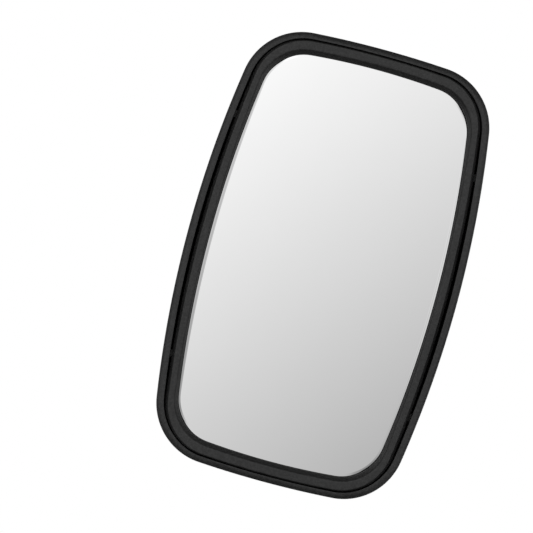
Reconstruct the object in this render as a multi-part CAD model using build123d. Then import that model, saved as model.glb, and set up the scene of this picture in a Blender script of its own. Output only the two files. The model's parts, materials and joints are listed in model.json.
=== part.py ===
from build123d import *

import os
from dataclasses import dataclass
from math import cos, radians, sin, tan

# Clamp-on vehicle mirror head.  Millimetres.
# Frame: the arm tube's axis is the Z axis, +Z up.  The origin is on that axis, level with the
# centre of the round clamp disc.  The glass faces -Y, the clamp disc faces +Y.

# ---- driving sizes -----------------------------------------------------------------------------
DEPTH = 62.0                  # ring face to crown of the back
HEAD_HALF_WIDTH = 93.3
HEAD_HALF_HEIGHT = 150.0
HEAD_DROP = 28.5              # middle of the head below the clamp disc's centre
BACK_Y = DEPTH / 2            # crown of the back
FACE_Y = -DEPTH / 2           # front face of the ring
HEAD_CENTRE_Z = -HEAD_DROP

# shell
WALL = 3.0
WALL_DRAFT = 3.0              # degrees, the walls close towards the back
SHOULDER = 19.0               # round between back and walls
CROWN_RADIUS = 4000.0         # the back is a shallow dome
RIM_SETBACK = 0.8             # shell rim behind the ring face
RIM_ROUND = 3.0
RIM_DEPTH = 7.0               # thick edge bead of the shell
PANEL_SIZE = (81.0, 48.4)     # plain sunk field on the back
PANEL_CENTRE_Z = HEAD_CENTRE_Z - 45.0
PANEL_DEPTH = 0.4
DISH_HALF = (55.0, 32.0)      # oval dish around the clamp disc
DISH_DEPTH = 1.8
PAD_DEPTH = 5.5               # thickened back around the dish
WINDOW_Z = 83.0               # snap windows, above and below the head's middle
WINDOW_SIZE = (5.5, 3.2)      # along Z, along Y
WINDOW_Y = -20.0

# front ring and glass pack
RING_DEPTH = 16.0
RING_EDGE_ROUND = 2.4
FLANK_ANGLE = 25.0            # slope of the ring's inner flank
FLANK_REACH = 2.6             # the slope ends this far inside its outline, then drops straight
GLASS_RADIUS = 1800.0         # convex glass
GLASS_CENTRE_SETBACK = 1.2    # middle of the glass behind the ring face
GLASS_THICKNESS = 2.0
SEAL_THICKNESS = 0.8
FILM_THICKNESS = 0.3
FOAM_THICKNESS = 1.0
CARRIER_THICKNESS = 2.5
CARRIER_RIB_HEIGHT = 4.0
RIB_WIDTH = 1.8

# clamp
TUBE_RADIUS = 10.0            # arm tube that the clamp takes
LINER_THICKNESS = 1.5
LINER_LENGTH = 42.0
JAW_GAP = 2.0                 # between the two jaws
DISC_RADIUS = 28.35
DISC_GAP = 1.0                # open ring around the disc
SEAT_HOLE_RADIUS = 24.0
SEAT_THICKNESS = 3.5
SEAT_WALL = 4.2
SCREW_PITCH_X = 32.0          # distance between the two screws
SCREW_LENGTH = 40.0
SWIVEL_LIMIT = 8.0            # degrees each way
JAW_SPAN = 48.0               # degrees each side of the X axis that an ear covers

# M6 hardware
SHANK_RADIUS = 2.95
THREAD_HOLE_RADIUS = 3.0
SCREW_HOLE_RADIUS = 3.2
SCREW_HEAD_RADIUS = 5.0
SCREW_HEAD_HEIGHT = 6.0
HEX_KEY_FLATS = 5.0
HEX_KEY_DEPTH = 3.2
NUT_FLATS = 10.0
NUT_HEIGHT = 5.0
COUNTERBORE_RADIUS = 6.0
WASHER_RADIUS = 5.9
WASHER_THICKNESS = 1.2
LOCK_WASHER_THICKNESS = 1.6

FIT = 0.08                    # running clearance of shafts and of faces that slide
PLAY = 0.1                    # clearance between pieces that are assembled and stay

# ---- derived depths, measured forwards from the crown of the back ---------------------------------
DISC_FACE_D = 2.0                                # lip of the disc
DISC_PLATE_D = DISC_FACE_D + 4.5                 # underside of the disc's rim
SEAT_D = DISC_PLATE_D + 1.0                      # back face of the shell's seat
SEAT_FRONT_D = SEAT_D + SEAT_THICKNESS
EAR_D = SEAT_FRONT_D + 1.0 + FIT                 # end of the inner jaw's ears
TUBE_D = BACK_Y                                  # the tube's axis
BOSS_D = TUBE_D - JAW_GAP / 2                    # end of the disc's boss
BLOCK_D = TUBE_D + JAW_GAP / 2                   # start of the inner jaw's block
BLOCK_FRONT_D = BLOCK_D + 13.0
RETAINER_THICKNESS = 0.8
NUT_FRONT_D = BLOCK_FRONT_D - RETAINER_THICKNESS
NUT_BACK_D = NUT_FRONT_D - NUT_HEIGHT
HEAD_TOP_D = DISC_FACE_D + 1.0                   # top of the screw heads
HEAD_SEAT_D = HEAD_TOP_D + SCREW_HEAD_HEIGHT
LOCK_WASHER_D = HEAD_SEAT_D + LOCK_WASHER_THICKNESS
COUNTERBORE_D = LOCK_WASHER_D + WASHER_THICKNESS
GROOVE_RADIUS = TUBE_RADIUS + LINER_THICKNESS
SEAT_RADIUS = DISC_RADIUS + DISC_GAP
JAW_RADIUS = DISC_RADIUS
SCREW_X = SCREW_PITCH_X / 2

# ---- arm opening in the bottom wall --------------------------------------------------------------
BOTTOM_REACH = HEAD_HALF_HEIGHT + HEAD_DROP      # clamp centre to the bottom wall
ARM_SWING = BOTTOM_REACH * tan(radians(SWIVEL_LIMIT))
ENTRY_PLAY = 1.2
ENTRY_HALF_X = ARM_SWING + TUBE_RADIUS / cos(radians(SWIVEL_LIMIT)) + ENTRY_PLAY
ENTRY_HALF_Y = TUBE_RADIUS + ENTRY_PLAY
GROMMET_WALL = 2.0
GROMMET_FLANGE = 2.5
GROMMET_LIP = 1.2


@dataclass(frozen=True)
class Barrel:
    """Barrel outline: two long side arcs, two end arcs and round corners."""

    half_width: float
    half_height: float
    side_radius: float
    end_radius: float
    corner_radius: float

    def face(self, inset=0.0):
        """Flat face of the outline, moved inwards by inset."""
        side = self.side_radius - inset
        end = self.end_radius - inset
        side_shift = self.side_radius - self.half_width
        end_shift = self.end_radius - self.half_height
        lens = Pos(-side_shift, 0) * Rot(0, 0, 180) * Circle(side)
        lens = lens & (Pos(side_shift, 0) * Circle(side))
        lens = lens & (Pos(0, -end_shift) * Circle(end))
        lens = lens & (Pos(0, end_shift) * Circle(end))
        return fillet(lens.vertices(), self.corner_radius - inset)


SHELL_OUTLINE = Barrel(HEAD_HALF_WIDTH, HEAD_HALF_HEIGHT, 745.0, 710.0, 41.8)
RIM_OPENING = Barrel(88.0, 145.6, 740.0, 705.6, 38.0)
RING_OUTLINE = Barrel(86.2, 144.9, 830.0, 615.0, 36.0)
RING_POCKET = Barrel(83.3, 141.6, 828.0, 613.0, 35.5)
FLANK_OUTLINE = Barrel(79.6, 138.4, 924.0, 524.0, 31.8)
GLASS_OUTLINE = Barrel(81.2, 139.4, 870.0, 560.0, 34.5)


def facing_plane(y, centre_z=HEAD_CENTRE_Z):
    """Plane across the head at depth y, whose normal points to the glass side."""
    return Plane(origin=(0, y, centre_z), x_dir=(1, 0, 0), z_dir=(0, -1, 0))


def depth_y(depth):
    """Y of a depth measured forwards from the crown of the back."""
    return BACK_Y - depth


def prism(sketch, y_front, y_back, centre_z=HEAD_CENTRE_Z):
    """Straight prism of a sketch between two depths."""
    return extrude(facing_plane(y_front, centre_z) * sketch, amount=y_front - y_back)


def disc(radius, depth_back, depth_front, x=0.0):
    """Round prism about the clamp axis, between two depths from the back."""
    return prism(Pos(x, 0) * Circle(radius), depth_y(depth_front), depth_y(depth_back), 0.0)


def ring(outer, inner, depth_back, depth_front, x=0.0):
    """Flat ring about the clamp axis or about a screw."""
    return disc(outer, depth_back, depth_front, x) - disc(inner, depth_back - 1, depth_front + 1, x)


def along_tube(radius, length):
    """Round bar on the arm tube's axis."""
    return Cylinder(radius, length)


def dome(inset):
    """Ball whose surface is the crowned back, moved inwards by inset."""
    return Pos(0, BACK_Y - CROWN_RADIUS, HEAD_CENTRE_Z) * Sphere(CROWN_RADIUS - inset)


def glass_ball(depth_behind_glass):
    """Ball whose surface lies this far behind the front of the glass."""
    centre_y = FACE_Y + GLASS_CENTRE_SETBACK + GLASS_RADIUS
    return Pos(0, centre_y, HEAD_CENTRE_Z) * Sphere(GLASS_RADIUS - depth_behind_glass)


def bowl(inset):
    """Solid form of the shell with its surface moved inwards by inset."""
    rim_y = FACE_Y + RIM_SETBACK
    rim_plane = Plane(origin=(0, rim_y, HEAD_CENTRE_Z), x_dir=(1, 0, 0), z_dir=(0, 1, 0))
    body = extrude(rim_plane * SHELL_OUTLINE.face(inset), amount=DEPTH, taper=WALL_DRAFT)
    body = body & dome(inset)
    back_edges = body.faces().sort_by(Axis.Y)[-1].edges()
    return fillet(back_edges, SHOULDER - inset)


def side_pair(solid):
    """The solid and its copy on the other side of the YZ plane."""
    return solid + mirror(solid, about=Plane.YZ)


def seat_ribs():
    """Ribs that run out from the seat over the inside of the back."""
    rib_length = 44.0
    rib_width = 2.2
    ribs = Part()
    for angle in range(0, 360, 45):
        bar = Pos(SEAT_RADIUS + rib_length / 2, 0) * Rectangle(rib_length, rib_width)
        ribs += prism(Rot(0, 0, angle) * bar, depth_y(SEAT_FRONT_D), depth_y(WALL), 0.0)
    return ribs


def ring_stops():
    """Blocks on the inside of the walls that the ring's rear edge rests on."""
    reach = 9.0
    width = 2.5
    front = FACE_Y + RING_DEPTH
    sketch = Sketch()
    for x in (-1, 1):
        for z in (-110.0, -40.0, 40.0, 110.0):
            barrel_fall = z * z / (2 * SHELL_OUTLINE.side_radius)
            middle = SHELL_OUTLINE.half_width - barrel_fall - reach / 2
            sketch += Pos(x * middle, z) * Rectangle(reach, width)
        for z in (-1, 1):
            sketch += Pos(x * 54.0, z * (SHELL_OUTLINE.half_height - reach / 2)) * Rectangle(width, reach)
    return prism(sketch, front, front + 12.0)


def make_rear_shell():
    """Deep moulded back shell with the seat for the clamp."""
    outside = bowl(0)
    outside = fillet(outside.faces().sort_by(Axis.Y)[0].edges(), RIM_ROUND)
    bead_back = FACE_Y + RIM_DEPTH
    cavity = bowl(WALL) & Pos(0, bead_back + DEPTH, HEAD_CENTRE_Z) * Box(400, 2 * DEPTH, 400)
    cavity += prism(RIM_OPENING.face(), FACE_Y - 1, bead_back)
    inside_parts = prism(Ellipse(*(half + 4.0 for half in DISH_HALF)), depth_y(PAD_DEPTH), BACK_Y, 0.0)
    inside_parts += disc(SEAT_RADIUS + SEAT_WALL, 0, SEAT_FRONT_D)
    inside_parts += seat_ribs() + ring_stops()
    shell = (outside - cavity) + (inside_parts & bowl(WALL / 2))
    shell -= dish()
    shell -= disc(SEAT_RADIUS, -1, SEAT_D)
    shell -= disc(SEAT_HOLE_RADIUS, 0, SEAT_FRONT_D + 1)
    shell -= panel_field()
    shell -= snap_windows()
    return shell - entry_prism(ENTRY_HALF_X + GROMMET_WALL, ENTRY_HALF_Y + GROMMET_WALL)


def dish():
    """Lens-shaped tool for the oval dish around the clamp disc."""
    lens_height = 10.0
    footprint = (1 - ((lens_height - DISH_DEPTH) / lens_height) ** 2) ** 0.5
    half_x, half_z = (half / footprint for half in DISH_HALF)
    lens = scale(Sphere(lens_height), by=(half_x / lens_height, 1, half_z / lens_height))
    return Pos(0, BACK_Y - DISH_DEPTH + lens_height, 0) * lens


def panel_field():
    """Thin cut that sinks the plain field in the back."""
    field = prism(RectangleRounded(*PANEL_SIZE, 1.5), 0, BACK_Y + 1, PANEL_CENTRE_Z)
    return field - dome(PANEL_DEPTH)


def snap_windows():
    """Four windows in the long walls for the ring's hooks."""
    length, height = WINDOW_SIZE
    window = Box(30.0, height, length)
    pair = Pos(SHELL_OUTLINE.half_width, WINDOW_Y, HEAD_CENTRE_Z + WINDOW_Z) * window
    pair += Pos(SHELL_OUTLINE.half_width, WINDOW_Y, HEAD_CENTRE_Z - WINDOW_Z) * window
    return side_pair(pair)


def entry_prism(half_x, half_y):
    """Slot-shaped prism through the bottom wall, around the arm's swing."""
    slot = SlotOverall(2 * half_x, 2 * half_y)
    return Pos(0, 0, -BOTTOM_REACH - 10.0) * extrude(slot, amount=30.0)


def make_entry_grommet():
    """Rubber lining of the arm opening, with a flange inside the wall."""
    half_x = ENTRY_HALF_X + GROMMET_WALL - PLAY
    half_y = ENTRY_HALF_Y + GROMMET_WALL - PLAY
    lining = entry_prism(half_x, half_y) & (bowl(0.3) - bowl(WALL + GROMMET_LIP))
    flange = entry_prism(half_x + GROMMET_FLANGE, half_y + GROMMET_FLANGE)
    flange &= bowl(WALL + PLAY) - bowl(WALL + GROMMET_LIP)
    return lining + flange - entry_prism(ENTRY_HALF_X, ENTRY_HALF_Y)


def ring_hooks():
    """Four snap hooks on the ring's side walls."""
    length = WINDOW_SIZE[0] - 0.6
    height = WINDOW_SIZE[1] - 0.8
    barrel_fall = WINDOW_Z**2 / (2 * SHELL_OUTLINE.side_radius)
    tip_x = SHELL_OUTLINE.half_width - barrel_fall - 1.6
    root_x = RING_OUTLINE.half_width - WINDOW_Z**2 / (2 * RING_OUTLINE.side_radius) - 1.0
    profile = Polyline(
        (root_x, WINDOW_Y + height / 2 + 0.6),
        (tip_x, WINDOW_Y + height / 2),
        (tip_x, WINDOW_Y - height / 2),
        (root_x, WINDOW_Y - height / 2),
        close=True,
    )
    hook = extrude(make_face(profile), amount=length / 2, both=True)
    pair = Pos(0, 0, HEAD_CENTRE_Z + WINDOW_Z) * hook + Pos(0, 0, HEAD_CENTRE_Z - WINDOW_Z) * hook
    return side_pair(pair)


def make_front_ring():
    """Moulded frame around the glass with a sloping inner flank."""
    body = prism(RING_OUTLINE.face(), FACE_Y, FACE_Y + RING_DEPTH)
    body = fillet(body.faces().sort_by(Axis.Y)[0].edges(), RING_EDGE_ROUND)
    pocket = prism(RING_POCKET.face(), FACE_Y - 1, FACE_Y + RING_DEPTH + 1) & glass_ball(-SEAL_THICKNESS)
    flank_plane = Plane(origin=(0, FACE_Y, HEAD_CENTRE_Z), x_dir=(1, 0, 0), z_dir=(0, 1, 0))
    flank = extrude(flank_plane * FLANK_OUTLINE.face(), amount=RING_DEPTH + 1, taper=FLANK_ANGLE)
    flank += prism(FLANK_OUTLINE.face(FLANK_REACH), FACE_Y, FACE_Y + RING_DEPTH + 1)
    return body - pocket - flank + ring_hooks()


def glass_layer(outline_face, depth_front, depth_back):
    """Curved plate parallel to the glass, between two depths behind its front."""
    plate = prism(outline_face, FACE_Y - 1, FACE_Y + RING_DEPTH) & glass_ball(depth_front)
    return plate - glass_ball(depth_back)


def make_mirror_glass():
    """Convex mirror glass."""
    return glass_layer(GLASS_OUTLINE.face(), 0, GLASS_THICKNESS)


def make_glass_seal():
    """Soft strip that the ring's lip presses on the edge of the glass."""
    return glass_layer(GLASS_OUTLINE.face() - GLASS_OUTLINE.face(2.2), -SEAL_THICKNESS, 0)


def make_shatter_film():
    """Adhesive safety film on the back of the glass."""
    return glass_layer(GLASS_OUTLINE.face(0.5), GLASS_THICKNESS, GLASS_THICKNESS + FILM_THICKNESS)


def make_foam_pads():
    """Eight oblong foam pads in two columns."""
    pads = Sketch()
    for x in (-42.0, 42.0):
        for z in (-99.0, -33.0, 33.0, 99.0):
            pads += Pos(x, z) * RectangleRounded(46.0, 28.0, 4.0)
    front = GLASS_THICKNESS + FILM_THICKNESS
    return glass_layer(pads, front, front + FOAM_THICKNESS)


def make_carrier_plate():
    """Carrier plate behind the glass, with a grid of ribs on its back."""
    front = GLASS_THICKNESS + FILM_THICKNESS + FOAM_THICKNESS
    back = front + CARRIER_THICKNESS
    plate = glass_layer(RING_POCKET.face(PLAY), front, back)
    grid = Sketch()
    for x in (-50.0, 0.0, 50.0):
        grid += Pos(x, 0) * Rectangle(RIB_WIDTH, 230.0)
    for z in (-100.0, -50.0, 0.0, 50.0, 100.0):
        grid += Pos(0, z) * Rectangle(130.0, RIB_WIDTH)
    return plate + glass_layer(grid, back - 0.5, back + CARRIER_RIB_HEIGHT)


def screw_bores(radius, depth_back, depth_front):
    """Round prisms at the two screws."""
    return side_pair(disc(radius, depth_back, depth_front, SCREW_X))


def make_clamp_disc():
    """Round outer jaw: lipped face, rim on the seat, boss with half the tube groove."""
    boss_radius = SEAT_HOLE_RADIUS - FIT
    face_edge = DISC_RADIUS - 3.0
    groove_inner = DISC_RADIUS - 2.0
    groove_outer = DISC_RADIUS - 1.2
    outline = [
        (face_edge, DISC_FACE_D + 0.6),
        (groove_inner, DISC_FACE_D + 0.6),
        (groove_inner, DISC_FACE_D + 1.2),
        (groove_outer, DISC_FACE_D + 1.2),
        (groove_outer, DISC_FACE_D),
        (DISC_RADIUS - 0.4, DISC_FACE_D),
        (DISC_RADIUS, DISC_FACE_D + 0.4),
        (DISC_RADIUS, DISC_PLATE_D),
        (boss_radius, DISC_PLATE_D),
        (boss_radius, BOSS_D),
        (0, BOSS_D),
        (0, DISC_FACE_D + 0.2),
    ]
    points = [(radius, depth_y(depth)) for radius, depth in outline]
    crown_middle = (face_edge / 2, depth_y(DISC_FACE_D + 0.3))
    profile = Polyline(*points) + ThreePointArc(points[-1], crown_middle, points[0])
    body = revolve(make_face(profile), axis=Axis.Y)
    body -= along_tube(GROOVE_RADIUS, 2 * DISC_RADIUS)
    body -= screw_bores(COUNTERBORE_RADIUS, 0, COUNTERBORE_D)
    return body - screw_bores(SCREW_HOLE_RADIUS, 0, BOSS_D + 1)


def make_inner_jaw():
    """Inner jaw: block with half the tube groove and two ears that reach the seat."""
    inner_radius = SEAT_HOLE_RADIUS + 0.6
    block = disc(JAW_RADIUS, BLOCK_D, BLOCK_FRONT_D)
    ears = ring(JAW_RADIUS, inner_radius, EAR_D, BLOCK_D)
    half_open = JAW_RADIUS * sin(radians(JAW_SPAN))
    ears &= Box(4 * JAW_RADIUS, 4 * DEPTH, 2 * half_open)
    body = block + ears - along_tube(GROOVE_RADIUS, 4 * JAW_RADIUS)
    pocket = RegularPolygon(NUT_FLATS / 2 + PLAY, 6, major_radius=False)
    pocket = prism(Pos(SCREW_X, 0) * pocket, depth_y(BLOCK_FRONT_D + 1), depth_y(NUT_BACK_D), 0.0)
    body -= side_pair(pocket)
    body -= prism(retainer_sketch(PLAY), depth_y(BLOCK_FRONT_D + 1), depth_y(NUT_FRONT_D), 0.0)
    return body - screw_bores(SCREW_HOLE_RADIUS, BLOCK_D - 1, BLOCK_FRONT_D)


def retainer_sketch(growth=0.0):
    """Outline of the sheet strip over the nuts."""
    return RectangleRounded(46.0 + 2 * growth, 13.0 + 2 * growth, 3.0)


def make_nut_retainer():
    """Sheet strip that keeps the nuts in their pockets."""
    strip = prism(retainer_sketch(), depth_y(BLOCK_FRONT_D), depth_y(NUT_FRONT_D), 0.0)
    return strip - screw_bores(SCREW_HOLE_RADIUS + 0.3, NUT_FRONT_D - 1, BLOCK_FRONT_D + 1)


def make_clamp_nuts():
    """Two captive M6 nuts."""
    hexagon = RegularPolygon(NUT_FLATS / 2, 6, major_radius=False) - Circle(THREAD_HOLE_RADIUS)
    return side_pair(prism(Pos(SCREW_X, 0) * hexagon, depth_y(NUT_FRONT_D), depth_y(NUT_BACK_D), 0.0))


def make_clamp_screw(x):
    """M6 socket head screw at x."""
    head = disc(SCREW_HEAD_RADIUS, HEAD_TOP_D, HEAD_SEAT_D, x)
    head = chamfer(head.faces().sort_by(Axis.Y)[-1].edges(), 0.5)
    key = RegularPolygon(HEX_KEY_FLATS / 2, 6, major_radius=False)
    head -= prism(Pos(x, 0) * key, depth_y(HEAD_TOP_D + HEX_KEY_DEPTH), depth_y(HEAD_TOP_D - 1), 0.0)
    shank = disc(SHANK_RADIUS, HEAD_SEAT_D, HEAD_SEAT_D + SCREW_LENGTH, x)
    shank = chamfer(shank.faces().sort_by(Axis.Y)[0].edges(), 0.8)
    return head + shank


def make_lock_washers():
    """Two split lock washers under the screw heads."""
    washer = ring(SCREW_HEAD_RADIUS, SCREW_HOLE_RADIUS, HEAD_SEAT_D, LOCK_WASHER_D, SCREW_X)
    split_y = depth_y((HEAD_SEAT_D + LOCK_WASHER_D) / 2)
    split = Box(0.6, 2 * LOCK_WASHER_THICKNESS, SCREW_HEAD_RADIUS)
    washer -= Pos(SCREW_X, split_y, SCREW_HEAD_RADIUS) * Rot(0, 20, 0) * split
    return side_pair(washer)


def make_screw_washers():
    """Two plain washers on the counterbore floors."""
    return side_pair(ring(WASHER_RADIUS, SCREW_HOLE_RADIUS, LOCK_WASHER_D, COUNTERBORE_D, SCREW_X))


def make_grip_liner(side):
    """Half-round liner in one jaw; side is +1 for the disc's jaw, -1 for the inner jaw."""
    sleeve = along_tube(GROOVE_RADIUS, LINER_LENGTH) - along_tube(TUBE_RADIUS, LINER_LENGTH + 2)
    half = Pos(0, side * (JAW_GAP / 2 + GROOVE_RADIUS), 0) * Box(60.0, 2 * GROOVE_RADIUS, 60.0)
    return sleeve & half


def make_disc_seal():
    """Flat seal ring between the disc's rim and the shell's seat."""
    return ring(DISC_RADIUS - 0.5, SEAT_HOLE_RADIUS + 0.5, DISC_PLATE_D, SEAT_D - FIT)


def make_swivel_washer():
    """Slide ring between the shell's seat and the inner jaw's ears."""
    return ring(JAW_RADIUS, SEAT_HOLE_RADIUS + 0.6, SEAT_FRONT_D + FIT, EAR_D)


def write_parts():
    """Build every piece and write it as its own file."""
    pieces = {
        "rear_shell": make_rear_shell(),
        "front_ring": make_front_ring(),
        "mirror_glass": make_mirror_glass(),
        "glass_seal": make_glass_seal(),
        "shatter_film": make_shatter_film(),
        "foam_pads": make_foam_pads(),
        "carrier_plate": make_carrier_plate(),
        "entry_grommet": make_entry_grommet(),
        "clamp_disc": make_clamp_disc(),
        "inner_jaw": make_inner_jaw(),
        "grip_liner_outer": make_grip_liner(1),
        "grip_liner_inner": make_grip_liner(-1),
        "clamp_screw_left": make_clamp_screw(-SCREW_X),
        "clamp_screw_right": make_clamp_screw(SCREW_X),
        "screw_washers": make_screw_washers(),
        "lock_washers": make_lock_washers(),
        "clamp_nuts": make_clamp_nuts(),
        "nut_retainer": make_nut_retainer(),
        "disc_seal": make_disc_seal(),
        "swivel_washer": make_swivel_washer(),
    }
    os.makedirs("parts", exist_ok=True)
    for name, piece in pieces.items():
        export_step(piece, f"parts/{name}.step")


write_parts()
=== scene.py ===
"""Clamp-on vehicle mirror head: finished surfaces and finishes around the fixed frame."""

import json
import logging
import math
from collections.abc import Iterable, Sequence
from dataclasses import dataclass
from enum import Enum

import bmesh
import bpy
import numpy as np
from mathutils import Matrix, Vector

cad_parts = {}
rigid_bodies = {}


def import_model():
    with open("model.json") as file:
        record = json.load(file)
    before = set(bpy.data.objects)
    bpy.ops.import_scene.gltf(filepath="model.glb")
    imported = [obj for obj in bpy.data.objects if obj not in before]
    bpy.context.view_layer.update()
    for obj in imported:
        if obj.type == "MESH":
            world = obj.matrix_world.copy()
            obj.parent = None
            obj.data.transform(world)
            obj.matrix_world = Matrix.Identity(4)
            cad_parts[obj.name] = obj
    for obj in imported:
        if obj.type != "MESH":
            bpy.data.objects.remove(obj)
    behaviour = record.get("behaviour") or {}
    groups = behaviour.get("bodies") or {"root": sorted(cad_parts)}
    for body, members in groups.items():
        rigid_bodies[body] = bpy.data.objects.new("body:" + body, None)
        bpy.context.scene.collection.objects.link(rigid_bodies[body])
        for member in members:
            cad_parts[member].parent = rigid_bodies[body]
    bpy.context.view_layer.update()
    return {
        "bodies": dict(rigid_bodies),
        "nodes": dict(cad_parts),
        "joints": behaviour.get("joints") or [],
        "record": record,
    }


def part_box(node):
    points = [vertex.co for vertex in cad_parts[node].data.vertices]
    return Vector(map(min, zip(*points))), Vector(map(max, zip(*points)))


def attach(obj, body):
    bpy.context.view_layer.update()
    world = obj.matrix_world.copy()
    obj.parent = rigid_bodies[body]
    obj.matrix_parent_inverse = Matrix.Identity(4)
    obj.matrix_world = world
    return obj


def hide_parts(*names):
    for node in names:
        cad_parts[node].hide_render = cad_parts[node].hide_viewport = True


LOG = logging.getLogger("mirror_head")
MM = 0.001
SMOOTH_LIMIT = math.radians(32)

Ring = np.ndarray


class Body(Enum):
    """The bodies that pieces ride on."""

    CORE = "clamp_core"
    JAW = "outer_jaw"
    SCREW_LEFT = "screw_left"
    SCREW_RIGHT = "screw_right"
    HEAD = "head"


# ---- shader helpers -------------------------------------------------------------------------------


class Wire:
    """An output socket; arithmetic on it adds Math nodes to its board."""

    def __init__(self, board: "Board", socket: bpy.types.NodeSocket) -> None:
        """Keep the board and the socket."""
        self.board = board
        self.socket = socket

    def _math(self, operation: str, *values: "Wire | float") -> "Wire":
        """Add one Math node.

        Args:
            operation: Math node operation.
            values: operands, as wires or numbers.

        Returns:
            The node's output.
        """
        return self.board.add("ShaderNodeMath", {"operation": operation}, dict(enumerate(values)))

    def __add__(self, other: "Wire | float") -> "Wire":
        """Sum."""
        return self._math("ADD", self, other)

    def __radd__(self, other: float) -> "Wire":
        """Reflected sum."""
        return self._math("ADD", other, self)

    def __sub__(self, other: "Wire | float") -> "Wire":
        """Difference."""
        return self._math("SUBTRACT", self, other)

    def __rsub__(self, other: float) -> "Wire":
        """Reflected difference."""
        return self._math("SUBTRACT", other, self)

    def __mul__(self, other: "Wire | float") -> "Wire":
        """Product."""
        return self._math("MULTIPLY", self, other)

    def __rmul__(self, other: float) -> "Wire":
        """Reflected product."""
        return self._math("MULTIPLY", other, self)

    def __abs__(self) -> "Wire":
        """Absolute value."""
        return self._math("ABSOLUTE", self)

    def root(self) -> "Wire":
        """Square root."""
        return self._math("SQRT", self)

    def within(self, low: float, high: float) -> "Wire":
        """Ramp smoothly from 0 at low to 1 at high.

        Args:
            low: value where the ramp starts.
            high: value where the ramp ends; it may be below low.

        Returns:
            The ramp's output.
        """
        inputs = {"Value": self, "From Min": low, "From Max": high}
        return self.board.add("ShaderNodeMapRange", {"interpolation_type": "SMOOTHSTEP"}, inputs)


class Board:
    """A node tree with one method that adds any node."""

    def __init__(self, tree: bpy.types.NodeTree) -> None:
        """Start from an empty tree."""
        self.tree = tree
        tree.nodes.clear()

    def node(
        self,
        kind: str,
        settings: dict[str, object] | None = None,
        inputs: dict[int | str, object] | None = None,
    ) -> bpy.types.Node:
        """Add a node.

        Args:
            kind: node type.
            settings: attributes, set before the sockets.
            inputs: values or wires by socket name or index.

        Returns:
            The new node.
        """
        made = self.tree.nodes.new(kind)
        for name, value in (settings or {}).items():
            setattr(made, name, value)
        for name, value in (inputs or {}).items():
            if isinstance(value, Wire):
                self.tree.links.new(value.socket, made.inputs[name])
            else:
                made.inputs[name].default_value = value
        return made

    def add(
        self,
        kind: str,
        settings: dict[str, object] | None = None,
        inputs: dict[int | str, object] | None = None,
        output: int | str = 0,
    ) -> Wire:
        """Add a node and return one of its outputs.

        Args:
            kind: node type.
            settings: attributes, set before the sockets.
            inputs: values or wires by socket name or index.
            output: which output to return.

        Returns:
            The output as a wire.
        """
        return Wire(self, self.node(kind, settings, inputs).outputs[output])

    def blend(self, factor: Wire, first: Sequence[float] | Wire, second: Sequence[float] | Wire) -> Wire:
        """Mix two colours.

        Args:
            factor: 0 gives the first colour, 1 the second.
            first: colour or wire.
            second: colour or wire.

        Returns:
            The mixed colour.
        """
        inputs = {0: factor, 6: first, 7: second}
        return self.add("ShaderNodeMix", {"data_type": "RGBA"}, inputs, 2)

    def noise(self, place: Wire, size: float, detail: float = 2.0, rough: float = 0.5) -> Wire:
        """Noise with features of about the given size.

        Args:
            place: coordinates in metres.
            size: feature size in metres.
            detail: number of octaves.
            rough: strength of the fine octaves.

        Returns:
            A value around 0.5.
        """
        inputs = {"Vector": place, "Scale": 1 / size, "Detail": detail, "Roughness": rough}
        return self.add("ShaderNodeTexNoise", None, inputs)

    def cells(self, place: Wire, size: float) -> Wire:
        """Distance to the nearest of scattered points.

        Args:
            place: coordinates in metres.
            size: cell size in metres.

        Returns:
            A value between 0 and about 1.
        """
        return self.add("ShaderNodeTexVoronoi", None, {"Vector": place, "Scale": 1 / size})

    def relief(self, height: Wire, depth: float) -> Wire:
        """Turn a height into a bent normal.

        Args:
            height: surface height, 0 to 1.
            depth: what a height of 1 stands for, in metres.

        Returns:
            The normal.
        """
        inputs = {"Height": height, "Distance": depth, "Strength": 1.0}
        return self.add("ShaderNodeBump", None, inputs)


def grey(level: float, warmth: float = 0.0) -> tuple[float, float, float, float]:
    """Neutral colour.

    Args:
        level: linear brightness.
        warmth: share added to red and taken from blue.

    Returns:
        The colour with full alpha.
    """
    return (level * (1 + warmth), level, level * (1 - warmth), 1.0)


# ---- finishes -------------------------------------------------------------------------------------


@dataclass(frozen=True)
class Finish:
    """Base of the finishes: a named material on Object coordinates."""

    name: str

    def material(self) -> bpy.types.Material:
        """Build the material once.

        Returns:
            The material, new or already made under this name.
        """
        known = bpy.data.materials.get(self.name)
        if known is not None:
            return known
        made = bpy.data.materials.new(self.name)
        made.use_nodes = True
        board = Board(made.node_tree)
        place = board.add("ShaderNodeTexCoord", output="Object")
        shader = self.surface(board, place)
        board.node("ShaderNodeOutputMaterial", None, {"Surface": shader})
        return made

    def surface(self, board: Board, place: Wire) -> Wire:
        """Shader of the finish; each finish has its own."""
        raise NotImplementedError


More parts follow.
